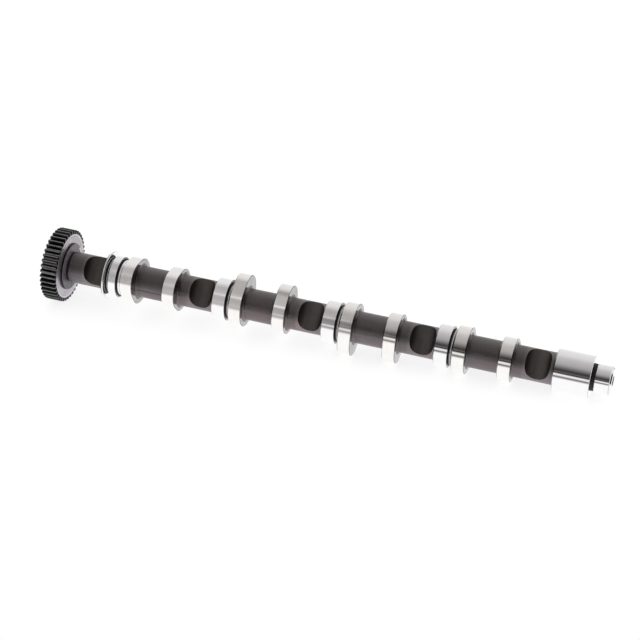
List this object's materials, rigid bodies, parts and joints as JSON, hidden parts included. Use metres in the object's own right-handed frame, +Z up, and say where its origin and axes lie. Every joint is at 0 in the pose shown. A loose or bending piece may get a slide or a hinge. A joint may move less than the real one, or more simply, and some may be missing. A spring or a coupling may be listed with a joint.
{
  "type": "camshaft",
  "caption": "Cast camshaft with ground cam lobes and bearing journals along a slim shaft, round clearance scallops, a thrust collar and a spur gear pressed on its driven end",
  "frame": {"origin": "on the shaft's axis, at the middle of the thrust journal's width", "axes": "+X along the shaft's axis from the gear towards the plain stub; +Z up as the shaft lies; +Y to the back"},
  "size_m": [0.4477, 0.057, 0.057],
  "materials": {
    "shaft_iron": "as-cast charcoal skin, with fine-ground lobes, journals and thrust faces",
    "gear_steel": "machined steel, matt web and bright tooth tips"
  },
  "bodies": {
    "root": {"camshaft": "shaft_iron", "drive_gear": "gear_steel"}
  },
  "joints": []
}
